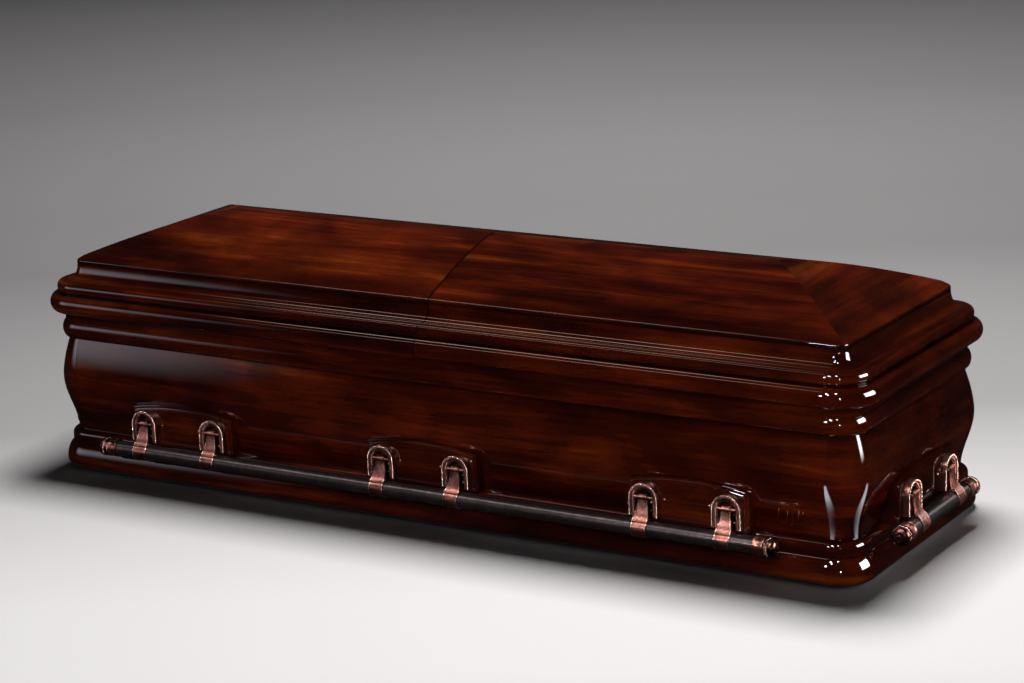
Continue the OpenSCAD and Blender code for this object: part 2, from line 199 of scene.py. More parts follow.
def metal(name, low, high, rough, grime=0.5, scale=220.0, metallic=1.0, relief=0.00010, patchy=0.25):
    """An antiqued plate: two tones by wear, and a darker film where dirt settles."""
    n = Nodes(name)
    place = n.add("TexCoord").outputs["Object"]
    wear = n.noise(place, scale, 5, 0.62)
    cloud = n.noise(place, scale * 0.16, 3, 0.55)
    colour = n.ramp(wear, (0.33, low), (0.68, high))
    film = n.ramp(cloud, (0.34, 1.0 - grime), (0.60, 1.0))
    colour = n.mix(1.0, colour, film, "MULTIPLY")
    return n.set(Base_Color=colour, Metallic=metallic, Normal=n.bump(wear, relief, 0.5),
                 Roughness=n.math("ADD", rough, n.math("MULTIPLY", n.math("SUBTRACT", cloud, 0.5), patchy)))


MAHOGANY = wood("mahogany_lacquered")
BARE = wood("mahogany_bare", lacquer=False)
BOARD = wood("mahogany_board_bare", on_object=True, lacquer=False)
RAIL = wood("mahogany_rail_lacquered", on_object=True)
COPPER = metal("copper_antique", (0.19, 0.066, 0.050), (0.50, 0.225, 0.180), 0.30)
COPPER_BRIGHT = metal("copper_worn_bright", (0.60, 0.32, 0.26), (0.95, 0.68, 0.58), 0.24, 0.25)
COPPER_DARK = metal("copper_oxidised", (0.045, 0.018, 0.015), (0.24, 0.100, 0.078), 0.24, 0.6)
BRONZE = metal("bronze_black", (0.048, 0.038, 0.038), (0.084, 0.066, 0.065), 0.29, 0.2, 90.0, 0.85, 0.0, 0.03)
STEEL = metal("hinge_steel", (0.33, 0.31, 0.28), (0.56, 0.54, 0.50), 0.32, 0.35)

# ---- mesh helpers


def add_object(name, data):
    obj = bpy.data.objects.new(name, data)
    bpy.context.scene.collection.objects.link(obj)
    return obj


def make_object(name, points, faces, materials, face_material=None, smooth_angle=32):
    mesh = bpy.data.meshes.new(name)
    mesh.from_pydata([tuple(p) for p in points], [], faces)
    for material in materials:
        mesh.materials.append(material)
    if face_material:
        mesh.polygons.foreach_set("material_index", face_material)
    mesh.shade_smooth()
    mesh.set_sharp_from_angle(angle=math.radians(smooth_angle))
    mesh.update()
    return add_object(name, mesh)


def welded(mesh, weld, smooth_angle, outward=False):
    """Joins points nearer than weld, drops faces without area, and marks the sharp edges."""
    work = bmesh.new()
    work.from_mesh(mesh)
    bmesh.ops.remove_doubles(work, verts=work.verts, dist=weld)
    bmesh.ops.dissolve_degenerate(work, edges=work.edges, dist=weld)
    if outward:
        bmesh.ops.recalc_face_normals(work, faces=work.faces)
    work.to_mesh(mesh)
    work.free()
    mesh.set_sharp_from_angle(angle=math.radians(smooth_angle))


class Solid:
    """Points and faces gathered for one piece, with grain and a darkening for each corner of a face: painted
    shade, or a darker tone.
    """

    def __init__(self):
        self.points, self.faces, self.grain, self.glaze, self.kinds = [], [], [], [], []

    def face(self, corners, grain, glaze, kind=0):
        self.faces.append(corners)
        self.grain += grain
        self.glaze += glaze
        self.kinds.append(kind)

    def build(self, name, materials, weld=1e-6, smooth_angle=32):
        obj = make_object(name, self.points, self.faces, materials, self.kinds, smooth_angle)
        mesh = obj.data
        grain = mesh.attributes.new("grain", "FLOAT_VECTOR", "CORNER")
        grain.data.foreach_set("vector", [c for g in self.grain for c in g])
        glaze = mesh.attributes.new("glaze", "FLOAT", "CORNER")
        glaze.data.foreach_set("value", self.glaze)
        welded(mesh, weld, smooth_angle)
        return obj


def arc(centre, radii, start, end, n=20, glaze=(0, 0)):
    """Points along part of an ellipse, with the darkening, painted shade, going evenly from one value to the
    other.
    """
    points = []
    for i in range(n + 1):
        t = math.radians(start + (end - start) * i / n)
        points.append((centre[0] + radii[0] * math.cos(t), centre[1] + radii[1] * math.sin(t),
                       glaze[0] + (glaze[1] - glaze[0]) * i / n))
    return points


def shaded(points, *dark):
    """Adds bands of painted shade to a profile: dark lists (height, half the height of the band, amount)."""
    result = []
    for o, z, g in points:
        for height, reach, amount in dark:
            g = max(g, amount * max(0.0, 1 - abs(z - height) / reach))
        result.append((o, z, g))
    return result


def bow(z):
    """Outset of the side's bowed face at height z."""
    up = z - BASE_H - BELLY_H
    if up > 0:
        return -0.020 - 0.020 * (up / (PANEL_H - BELLY_H)) ** 1.6
    return -0.020 - 0.027 * (1 - math.cos(-math.pi * up / BELLY_H)) / 2


class Place:
    """A point on the line of the widest bead: where it is, which way is out, and its way round."""

    def __init__(self, point, out, along):
        self.point, self.out, self.along, self.dark = Vector(point), Vector(out), along, 0.0

    def at(self, outset, z):
        return Vector((self.point.x + self.out.x * outset, self.point.y + self.out.y * outset, z))


def straight_places(start, end, out, step=0.12, lead=0.015):
    """Places along a straight run, close together near its ends, so that shading stays flat between."""
    start, end = Vector(start), Vector(end)
    length = (end - start).length
    inner = max(1, round((length - 2 * lead) / step))
    ways = [0.0] + [lead + (length - 2 * lead) * i / inner for i in range(inner + 1)] + [length]
    return [Place(start.lerp(end, w / length), out, w) for w in ways]


def corner_places(centre, start, n=28):
    """Places round a quarter circle about a corner's middle, from angle start."""
    places = []
    for i in range(n + 1):
        a = math.radians(start + 90 * i / n)
        out = Vector((math.cos(a), math.sin(a)))
        places.append(Place(Vector(centre) + CORNER_R * out, out, CORNER_R * math.pi / 2 * i / n))
    return places


A, B = HALF_L - CORNER_R, HALF_W - CORNER_R     # middles of the corners


def side_places(side, low=None, high=None, lead=0.015):
    """Places along one side, in the order that goes counter-clockwise from above."""
    half = A if side in ("front", "back") else B
    low, high = -half if low is None else low, half if high is None else high
    reach = REACH[side]
    turn = Matrix.Rotation(math.radians(SPIN[side]), 2)
    ends = [turn @ Vector((x, -reach)) for x in (low, high)]
    return straight_places(*ends, turn @ Vector((0, -1)), lead=lead)


def corner_of(end, front):
    """Places round the corner at that end (1 foot, -1 head), at the front or the back."""
    start = (-90 if front else 0) if end > 0 else (180 if front else 90)
    return corner_places((end * A, (-1 if front else 1) * B), start)


def chained(parts, start=0.0, ends_dark=0.0):
    """Numbers the way along a row of strips, so that the grain flows from each one into the next."""
    for part in parts:
        for place in part:
            place.along += start
        start = part[-1].along
    # painted shade at the two ends of a chain; the lid rings put it at the seam
    parts[0][0].dark = parts[-1][-1].dark = ends_dark
    return parts


ROUND = ("back", (-1, False), "head_end", (-1, True), "front", (1, True), "foot_end", (1, False))
FULL_RING = chained([side_places(key) if isinstance(key, str) else corner_of(*key) for key in ROUND], -4.0)
STRIP = dict(zip(ROUND, FULL_RING))
# painted shade along the seam between the lid panels
SEAM_PAINTED_SHADE, SEAM_FADE = 0.85, 0.004
LID_RING = {1: chained([side_places("front", low=SEAM, lead=SEAM_FADE), corner_of(1, True),
                        side_places("foot_end"), corner_of(1, False),
                        side_places("back", high=-SEAM, lead=SEAM_FADE)], 1.0, SEAM_PAINTED_SHADE),
            -1: chained([side_places("back", low=SEAM, lead=SEAM_FADE), corner_of(-1, False),
                         side_places("head_end"), corner_of(-1, True),
                         side_places("front", high=-SEAM, lead=SEAM_FADE)], 5.0, SEAM_PAINTED_SHADE)}


END_GLAZE = 0.3                     # on sawn ends


def sweep(solid, parts, profile, inner_from, board, capped=True):
    """Runs a closed profile along strips of places. Faces from index inner_from on are bare inside ones,
    and board picks the piece of timber."""
    count = len(profile)
    girth = [0.0]
    for p, q in zip(profile, profile[1:] + profile[:1]):
        girth.append(girth[-1] + math.hypot(q[0] - p[0], q[1] - p[1]))
    for part in parts:
        first = len(solid.points)
        for place in part:
            solid.points += [place.at(o, z) for o, z, _ in profile]
        for i in range(len(part) - 1):
            for j in range(count):
                k = (j + 1) % count
                a, b = first + i * count, first + (i + 1) * count
                s, t, m, n = part[i].along, part[i + 1].along, part[i].dark, part[i + 1].dark
                solid.face((a + j, b + j, b + k, a + k),
                           [(s + board, girth[j], board), (t + board, girth[j], board),
                            (t + board, girth[j + 1], board), (s + board, girth[j + 1], board)],
                           [max(profile[j][2], m), max(profile[j][2], n),
                            max(profile[k][2], n), max(profile[k][2], m)],
                           1 if j >= inner_from else 0)
    if capped:
        ends = ((len(solid.points) - count, True), (len(solid.points) - sum(map(len, parts)) * count, False))
        for start, last in ends:
            ring = list(range(start, start + count))
            grain = [(o, z, 9.0) for o, z, _ in profile]
            if last:
                ring.reverse()
                grain.reverse()
            solid.face(tuple(ring), grain, [END_GLAZE] * count)


def finish_piece(obj, body, slot, *nodes):
    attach(obj, body)
    if nodes:
        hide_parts(*nodes)
    return obj


# ---- profiles


def base_profile():
    """A bulge with a small bead above it."""
    middle, deep, low = -0.045, 0.031, 0.02208      # the bulge's centre line, depth and widest height
    outer = ([(-BASE_WALL - LEDGE_W, 0, 0)]
             + arc((middle, low), (deep, low), -90, 0, 18)
             + arc((middle, low), (deep, BASE_H / 2), 2, 62, 18)
             + arc((-0.047, BASE_H - 0.015), (0.016, 0.015), 0, 90, 12))
    # painted shade: in the crease between the bulge and the bead, under the panels and along the floor
    outer = shaded(outer, (0.0655, 0.005, 0.85), (BASE_H, 0.003, 0.25), (0.0, 0.006, 0.4))
    ledge = [(-BASE_WALL, BASE_H, 0), (-BASE_WALL, LEDGE_H, 0), (-BASE_WALL - LEDGE_W, LEDGE_H, 0)]
    return outer + ledge, len(outer)


def wall_profile(proud=0.0):
    """A bowed wall; a post's stands proud of the panels at its middle."""
    heights = [BASE_H + PANEL_H * i / 48 for i in range(49)]
    # painted shade: an even amount over a post, and bands where the wall meets the base and the rim
    outer = shaded([(bow(z) + proud * math.sin(math.pi * (z - BASE_H) / PANEL_H), z, 0.25 if proud else 0)
                    for z in heights], (BASE_H, 0.010, 0.7), (RIM_Z, 0.010, 0.6))
    inner = [(bow(z) - PANEL_T, z, 0) for z in reversed(heights)]
    return outer + inner, len(outer) - 1


def rim_profile():
    """A large bead under a set-back fillet."""
    lean = math.degrees(math.acos(0.007 / 0.015))
    outer = [(-RIM_WALL, RIM_Z, 0)] + arc((-0.040, RIM_Z + 0.023), (0.015, 0.023), -90, lean, 24)
    outer += [(-0.033, RIM_TOP, 0), (-RIM_WALL, RIM_TOP, 0)]
    # painted shade: at the foot of the bead and in the recess under the lid
    outer = shaded(outer, (RIM_Z, 0.006, 0.8), (FILLET_Z + 0.008, 0.012, 0.95))
    return outer, len(outer) - 1


def lid_profile():
    """A large bead with a small one above it."""
    outer = [(-LID_WALL, LID_Z, 0)]
    outer += arc((-0.020, LID_Z + 0.023), (0.020, 0.023), -90, 90, 32)
    outer += arc((-0.030, SMALL_BEAD_Z + 0.014), (0.011, 0.014), -60, 90, 20)
    outer += [(-LID_WALL, COVE_Z, 0)]
    # painted shade: at the lid's lower joint, in the groove under the small bead and where the cove begins
    outer = shaded(outer, (LID_Z, 0.006, 0.8), (SMALL_BEAD_Z + 0.001, 0.005, 0.9), (COVE_Z, 0.002, 0.5))
    return outer, len(outer) - 1


def cove_profile():
    """A quarter hollow that rises to the crown's edge."""
    outer = [(-COVE_WALL, COVE_Z, 0)] + arc((0.024 - CROWN_INSET, CROWN_Z), (0.024, 0.038), -90, -180, 28)
    outer += [(-COVE_WALL, CROWN_Z, 0)]
    # painted shade: at the cove's foot and under the crown's edge
    outer = shaded(outer, (COVE_Z, 0.004, 0.7), (CROWN_Z, 0.005, 0.8))
    return outer, len(outer) - 1


# ---- wooden pieces


def run(node, body, parts, profile, board, capped=True):
    """Makes a piece by running a profile round, in place of its node."""
    solid = Solid()
    sweep(solid, parts, *profile, board, capped)
    finish_piece(solid.build(node + "_wood", [MAHOGANY, BARE]), body, "mahogany", node)


run("base_moulding", "casket", FULL_RING, base_profile(), 2.0, capped=False)
run("rim_moulding", "casket", FULL_RING, rim_profile(), 12.3, capped=False)

WALL_BOARD = 17.0
POST_PROUD = 0.002
WALLS = {"panel_" + side: (side, 0.0) for side in SIDES}
WALLS.update({f"corner_{face}_{half}": ((end, face == "front"), POST_PROUD)
              for face in ("front", "back") for half, end in (("head", -1), ("foot", 1))})
for node, (strip, proud) in WALLS.items():
    run(node, "casket", [STRIP[strip]], wall_profile(proud), WALL_BOARD)

for lid, end in (("head", -1), ("foot", 1)):
    run(f"lid_{lid}_moulding", "lid_" + lid, LID_RING[end], lid_profile(), 26.5)
    run(f"lid_{lid}_cove", "lid_" + lid, LID_RING[end], cove_profile(), 31.0)

CROWN_HALF = HALF_W - CROWN_INSET
EDGE_R = CORNER_R - CROWN_INSET
RIDGE_CROWDING = 1.35               # over 1, level lines lie closer together near the ridge


def arch(y):
    return ARRIS_Z + CROWN_RISE * (1 - (abs(y) / CROWN_HALF) ** CROWN_POWER)


def crown_ring(inset, z, steps=8, bend=8):
    """One level line of the foot panel's crown, from the seam at the front round to the seam at the back."""
    x, y = HALF_L - CROWN_INSET - inset, CROWN_HALF - inset
    r = max(EDGE_R - inset, 0.0)
    near = SEAM + SEAM_FADE
    ring = [(SEAM, -y)] + [(near + (x - r - near) * i / steps, -y) for i in range(steps + 1)]
    ring += [(x - r + r * math.sin(t), -(y - r) - r * math.cos(t))
             for t in (math.pi / 2 * i / bend for i in range(1, bend))]
    ring += [(x, -(y - r) + 2 * (y - r) * i / steps) for i in range(steps + 1)]
    ring += [(x - r + r * math.cos(t), (y - r) + r * math.sin(t))
             for t in (math.pi / 2 * i / bend for i in range(1, bend))]
    ring += [(x - r - (x - r - near) * i / steps, y) for i in range(steps + 1)] + [(SEAM, y)]
    return [Vector((px, py, z)) for px, py in ring]


def crown_levels():
    """The outer skin as (inset, height, darkening), from the underside's inner edge up to the ridge. The
    darkening is painted shade on the eased lower edge, and an even darker tone over the slopes.
    """
    fall = (CROWN_DROP - (ARRIS_Z - CROWN_Z)) / CROWN_RISE
    inner_edge = CROWN_HALF * (1 - (1 - fall) ** (1 / CROWN_POWER))
    levels = [(inner_edge, CROWN_Z, 0.0)]
    ease, shoulder, r = 0.0025, 0.006, 0.0045       # the eased lower edge, and the rounded arris
    levels += [(ease - ease * math.sin(t), CROWN_Z + ease - ease * math.cos(t), 0.5)
               for t in (math.pi / 2 * i / 5 for i in range(6))]
    rise = math.atan2(arch(CROWN_HALF - shoulder) - ARRIS_Z, shoulder)
    top = ARRIS_Z - 0.0005
    for i in range(7):
        t = (math.pi / 2 - rise) * i / 6
        levels.append((r - r * math.cos(t), top - r * 0.8 + r * math.sin(t) * 0.9, 0.12))
    slopes = 44
    for i in range(1, slopes + 1):
        y = (CROWN_HALF - shoulder) * (1 - i / slopes) ** RIDGE_CROWDING
        levels.append((CROWN_HALF - y, arch(y), max(0.13, 0.25 - i * 0.05)))
    return inner_edge, levels


def crown(name, end):
    """The arch with its hipped end, and the bare arch under it, for the lid panel at that end."""
    solid = Solid()
    inner_edge, levels = crown_levels()
    under = [(CROWN_HALF - y, arch(y) - CROWN_DROP, 0.0)
             for y in ((CROWN_HALF - inner_edge) * (i / 24) ** RIDGE_CROWDING for i in range(25))]
    for skin, kind in ((levels, 0), (under, 1)):
        first = len(solid.points)
        rings = [crown_ring(d, z) for d, z, _ in skin]
        for ring in rings:
            solid.points += [Vector((end * p.x, end * p.y, p.z)) for p in ring]
        count = len(rings[0])
        for i in range(len(rings) - 1):
            for j in range(count - 1):
                a, b = first + i * count + j, first + (i + 1) * count + j
                middle = (rings[i][j] + rings[i + 1][j + 1]) / 2
                across = middle.x - (HALF_L - HALF_W) > abs(middle.y)
                corners = (a, a + 1, b + 1, b)
                spots = [rings[i][j], rings[i][j + 1], rings[i + 1][j + 1], rings[i + 1][j]]
                if across:
                    grain = [(p.y + 7 * end, p.x + p.z, 2.3 * end) for p in spots]
                else:
                    half = 1.0 if middle.y < 0 else 4.0
                    grain = [(p.x * end + half, p.y + p.z, half) for p in spots]
                g0, g1 = skin[i][2], skin[i + 1][2]
                here, there = SEAM_PAINTED_SHADE * (j == 0), SEAM_PAINTED_SHADE * (j == count - 2)
                solid.face(corners, grain, [max(g0, here), max(g0, there), max(g1, there), max(g1, here)],
                           kind if i or kind else 1)
    front = [i * count for i in range(len(levels))]
    back = [i * count + count - 1 for i in range(len(levels))]
    base = len(levels) * count
    roof = [base + i * count for i in range(len(under))]
    roof_back = [base + i * count + count - 1 for i in range(len(under))]
    outline = front + back[::-1][1:] + roof_back[::-1][1:] + roof[1:-1]
    spots = [solid.points[i] for i in outline]
    solid.face(tuple(outline), [(p.y, p.z, 3.0) for p in spots], [END_GLAZE] * len(spots))
    return solid.build(name, [MAHOGANY, BARE], weld=2e-6, smooth_angle=18)


for lid, end in (("head", -1), ("foot", 1)):
    finish_piece(crown(f"lid_{lid}_crown_wood", end), "lid_" + lid, "mahogany", f"lid_{lid}_crown")

# ---- handle plates


def on_side(side, x, outset, z):
    """A point on a side: x along it, seen from outside, and outset from the line of the widest bead."""
    p = Matrix.Rotation(math.radians(SPIN[side]), 2) @ Vector((x, -REACH[side] - outset))
    return Vector((p.x, p.y, z))


def plate_outline(width, margin, n=24):
    """Up the left edge of a plate, over its arched top and down the right, set in by margin."""
    top, foot = width / 2 - margin, width / 2 + PLATE_FLARE - margin
    rise = [(top * i / n, BASE_H + PLATE_H + PLATE_RISE * (1 - (i / n) ** 2) - margin)
            for i in range(-n, n + 1)]
    side = 4
    left = [(-foot + (foot - top) * i / side, BASE_H + (rise[0][1] - BASE_H) * i / side) for i in range(side)]
    right = [(-x, z) for x, z in reversed(left)]
    return left + rise + right


def plate(name, side, x):
    """An arched block whose edge is a step, a cove and a small round."""
    width = END_PLATE_W if side.endswith("_end") else PLATE_W
    # the third numbers darken the wood: painted shade in the step and cove of the edge and where the plate
    # meets the wall, and an even darker tone on the face
    edge = [(0, None, 0.6), (0, -0.0175, 0.35), (0.0004, -0.0166, 0.1), (0.0012, -0.0161, 0),
            (0.0030, -0.0160, 0.2), (0.0033, -0.0148, 0.5), (0.0040, -0.0134, 0.3),
            (0.0054, -0.0123, 0.1), (0.0072, -0.0119, 0.1), (0.0075, -0.0109, 0), (0.0080, -0.0103, 0),
            (0.0088, -0.0100, 0.2), (0.0200, -0.0100, 0.35)]
    solid = Solid()
    outlines = [plate_outline(width, margin) for margin, _, _ in edge]
    for outline, (_, outset, _) in zip(outlines, edge):
        for px, pz in outline:
            o = bow(pz) - 0.002 if outset is None else outset
            solid.points.append(on_side(side, x + px, max(o, -0.06), pz))
    count = len(outlines[0])
    board = 40 + STATION_SEED[name]
    for i in range(len(edge) - 1):
        g0, g1 = edge[i][2], edge[i + 1][2]
        here, there = outlines[i], outlines[i + 1]
        for j in range(count - 1):
            a, b = i * count + j, (i + 1) * count + j
            grain = [(px + board, pz + i * 0.002, board)
                     for px, pz in (here[j], there[j], there[j + 1], here[j + 1])]
            solid.face((a, b, b + 1, a + 1), grain, [g0, g1, g1, g0])
    last = (len(edge) - 1) * count
    solid.face(tuple(last + j for j in reversed(range(count))),
               [(px + board, pz, board) for px, pz in reversed(outlines[-1])], [edge[-1][2]] * count)
    rows = range(len(edge))
    foot = [i * count for i in rows] + [i * count + count - 1 for i in reversed(rows)]
    for hidden in (foot, range(count)):
        solid.face(tuple(hidden), [(0, 0, 0)] * len(hidden), [0.5] * len(hidden))
    return solid.build("plate_" + name + "_wood", [MAHOGANY], smooth_angle=28)


STATION_SEED = {name: i * 1.7 for i, name in enumerate(STATIONS)}       # sets each plate's grain apart
for name, (side, x) in STATIONS.items():
    finish_piece(plate(name, side, x), "casket", "mahogany", "plate_" + name)

# ---- lugs


def turns(n):
    """Equal steps of a full circle, in radians."""
    return [2 * math.pi * k / n for k in range(n)]


class Patch:
    """Points and faces of a metal piece, with a material number for each face."""

    def __init__(self):
        self.points, self.faces, self.kinds = [], [], []

    def grid(self, rows, loop_rows=False, loop_columns=False, row_kinds=(), column_kinds=()):
        """A sheet of quads over equal rows of points, closed on itself where asked. Some rows or columns
        of faces may have a kind of their own."""
        first, n, m = len(self.points), len(rows), len(rows[0])
        for row in rows:
            self.points += row
        for i in range(n if loop_rows else n - 1):
            for j in range(m if loop_columns else m - 1):
                a, b = first + i * m, first + (i + 1) % n * m
                k = (j + 1) % m
                self.faces.append((a + j, a + k, b + k, b + j))
                self.kinds.append(dict(row_kinds).get(i, dict(column_kinds).get(j, 0)))

    def cap(self, ring, kind=0, flip=False):
        first = len(self.points)
        self.points += ring
        face = tuple(range(first, first + len(ring)))
        self.faces.append(face[::-1] if flip else face)
        self.kinds.append(kind)

    def build(self, name, materials, smooth_angle=35):
        obj = make_object(name, self.points, self.faces, materials, self.kinds, smooth_angle)
        welded(obj.data, 1e-6, smooth_angle, outward=True)
        return obj


def horseshoe(r, n=30, leg=10):
    """The line of a lug's rim at radius r: up the left leg, over the arch and down the right leg."""
    centre = PIN_Z + LUG_TOP - LUG_R
    low = PIN_Z - LUG_LEG
    line = [(-r, low + (centre - low) * i / leg) for i in range(leg)]
    line += [(-r * math.cos(t), centre + r * math.sin(t)) for t in (math.pi * i / n for i in range(n + 1))]
    line += [(r, centre - (centre - low) * i / leg) for i in range(1, leg + 1)]
    return line


LUG_ROWS = ((5, 2), (6, 2), (7, 2), (10, 2), (11, 2))     # worn bright: the rim's crest and the inner lip


def lug(name, side, x):
    """Two horseshoes with a hooded rim, a dark recess, a back plate and a pin."""
    patch = Patch()
    section = [(0.034, 0.0), (0.034, 0.0115), (0.0335, 0.0125), (0.0325, 0.0128), (0.0315, 0.0125),
               (0.0310, 0.0132), (0.0305, 0.0140), (0.0295, 0.0142), (0.0287, 0.0136), (0.0225, 0.0098),
               (0.0215, 0.0100), (0.0208, 0.0099), (0.0203, 0.0092), (0.0200, 0.0030)]
    for way in (-1, 1):
        middle = x + way * LUG_PITCH / 2
        rows = [[on_side(side, middle + px, PLATE_O + d, pz) for px, pz in horseshoe(r)] for r, d in section]
        patch.grid(rows, row_kinds=LUG_ROWS)
        for end, flip in ((0, False), (-1, True)):
            patch.cap([row[end] for row in rows], flip=flip)
        patch.cap([on_side(side, middle + px, PLATE_O + 0.003, pz) for px, pz in horseshoe(LUG_INNER)],
                  kind=1, flip=True)
        pin = [[on_side(side, middle + px, PIN_O + PIN_R * math.cos(t), PIN_Z + PIN_R * math.sin(t))
                for t in turns(20)] for px in (-0.0215, 0.0215)]
        patch.grid(pin, loop_columns=True)
    return patch.build("lugs_" + name + "_cast", [COPPER, COPPER_DARK, COPPER_BRIGHT])


for name, (side, x) in STATIONS.items():
    finish_piece(lug(name, side, x), "casket", "copper", "lugs_" + name)

# ---- arms


def arm(name, side, x):
    """Two flat tapered arms with raised edges, an eye on the pin and a lipped band round the bar."""
    patch = Patch()
    tilt = math.atan2(ARM_LEAN, ARM_DROP)

    def spot(middle, across, out, down):
        """across the arm, out of its plane, and down from the pin"""
        o = PIN_O + out * math.cos(tilt) + down * math.sin(tilt)
        z = PIN_Z + out * math.sin(tilt) - down * math.cos(tilt)
        return on_side(side, middle + across, o, z)

    spine = [(-0.0068, 0.0), (-0.0066, 0.0), (-0.002, 0.0), (0.006, 0.0), (0.014, 0.0003), (0.022, 0.0010),
             (0.030, 0.0024), (0.037, 0.0044), (0.043, 0.0072), (0.0475, 0.0103), (0.0505, 0.0130)]
    lip, rim = 0.0007, 0.0016
    for way in (-1, 1):
        middle = x + way * LUG_PITCH / 2
        rows = []
        for k, (down, out) in enumerate(spine):
            share = min(1.0, max(0.0, down / 0.047))
            half = (ARM_W + (ARM_BAR_W - ARM_W) * share ** 1.25) / 2
            if k == 0:
                half -= 0.0006
            front, back = out + ARM_T / 2, out - ARM_T / 2
            cross = [(-half + 0.0004, back), (half - 0.0004, back), (half, back + 0.0006),
                     (half, front - 0.0002), (half - 0.0003, front + lip), (half - rim, front + lip),
                     (half - rim - 0.0006, front), (-half + rim + 0.0006, front), (-half + rim, front + lip),
                     (-half + 0.0003, front + lip), (-half, front - 0.0002), (-half, back + 0.0006)]
            rows.append([spot(middle, a, o, down) for a, o in cross])
        patch.grid(rows, loop_columns=True, column_kinds=((3, 1), (4, 1), (8, 1), (9, 1)))
        patch.cap(rows[0])
        patch.cap(rows[-1])
        eye = [(-0.0100, 0.0036), (-0.0100, 0.0060), (-0.0096, 0.0065), (0.0096, 0.0065), (0.0100, 0.0060),
               (0.0100, 0.0036)]
        patch.grid([[spot(middle, a, r * math.cos(t), -r * math.sin(t))
                     for t in turns(28)] for a, r in eye],
                   loop_columns=True, loop_rows=True)
        h = ARM_BAR_W / 2
        band = [(-h, BAR_R + 0.00005), (-h, RING_R - 0.0003), (-h + 0.0004, RING_R), (-h + 0.0022, RING_R),
                (-h + 0.0028, RING_R - 0.0006), (h - 0.0028, RING_R - 0.0006), (h - 0.0022, RING_R),
                (h - 0.0004, RING_R), (h, RING_R - 0.0003), (h, BAR_R + 0.00005)]
        patch.grid([[spot(middle, a, r * math.cos(t), ARM_L + r * math.sin(t))
                     for t in turns(56)] for a, r in band],
                   loop_columns=True, loop_rows=True, row_kinds=((1, 1), (2, 1), (6, 1), (7, 1)))
        tab = [(-0.0075, 0.0030), (0.0075, 0.0030), (0.0070, 0.0044), (-0.0070, 0.0044)]
        block = [[spot(middle, a, o, d) for a, o in tab] for d in (-0.0060, 0.0085)]
        patch.grid(block, loop_columns=True)
        for ring in block:
            patch.cap(ring)
    return patch.build("arms_" + name + "_cast", [COPPER, COPPER_BRIGHT])


for name, (side, x) in STATIONS.items():
    finish_piece(arm(name, side, x), "swing_" + side, "copper", "arms_" + name)

# ---- bars and tips


def lathe(patch, side, start, way, profile, row_kinds=(), n=64):
    """Turns a profile of (distance along, radius) about a bar's axis."""
    patch.grid([[on_side(side, start + way * d, BAR_O + r * math.cos(t), BAR_Z + r * math.sin(t))
                 for t in turns(n)] for d, r in profile], loop_columns=True, row_kinds=row_kinds)


def bar(side):
    """A tube with eased ends."""
    half = BAR_HALF[side]
    patch = Patch()
    inner = BAR_R - BAR_WALL
    steps = 24
    profile = [(-half, inner), (-half, BAR_R - 0.0004), (-half + 0.0004, BAR_R)]
    profile += [(-half + 2 * half * i / steps, BAR_R) for i in range(1, steps)]
    profile += [(half - 0.0004, BAR_R), (half, BAR_R - 0.0004), (half, inner)]
    lathe(patch, side, 0, 1, profile + [(half - 0.001, inner), (-half + 0.001, inner), (-half, inner)])
    return patch.build("bar_" + side + "_tube", [BRONZE])


NECK_ROWS = tuple((i, 1) for i in range(12, 44))     # oxidised: from the neck to the end of the knob


def tips(side):
    """A plug, a ringed collar, a neck and a knob at each end of a bar."""
    half = BAR_HALF[side]
    patch = Patch()
    knob_r = 0.0119
    middle = TIP_L - knob_r - 0.003
    profile = [(-0.010, 0), (-0.010, 0.0148), (0, 0.0148), (0, 0.0204), (0.0006, 0.0210), (0.0030, 0.0210),
               (0.0034, 0.0203), (0.0040, 0.0200), (0.0200, 0.0200), (0.0207, 0.0203), (0.0213, 0.0210),
               (0.0238, 0.0210), (0.0243, 0.0204), (0.0246, 0.0165), (0.0262, 0.0158), (0.0286, 0.0158),
               (0.0292, 0.0172), (0.0306, 0.0178), (0.0318, 0.0172), (0.0322, 0.0160)]
    profile += [(middle + knob_r * math.sin(t), TIP_R - knob_r + knob_r * math.cos(t))
                for t in (math.radians(-40 + 130 * i / 18) for i in range(19))]
    profile += [(TIP_L - 0.0031, 0.0062), (TIP_L - 0.0022, 0.0066), (TIP_L - 0.0004, 0.0048), (TIP_L, 0.0)]
    for way in (-1, 1):
        lathe(patch, side, way * half, way, profile, NECK_ROWS)
    return patch.build("tips_" + side + "_turned", [COPPER, COPPER_DARK])


for side in SIDES:
    finish_piece(bar(side), "swing_" + side, "bar", "bar_" + side)
    finish_piece(tips(side), "swing_" + side, "copper", "tips_" + side)

# ---- repeated trim, by geometry nodes


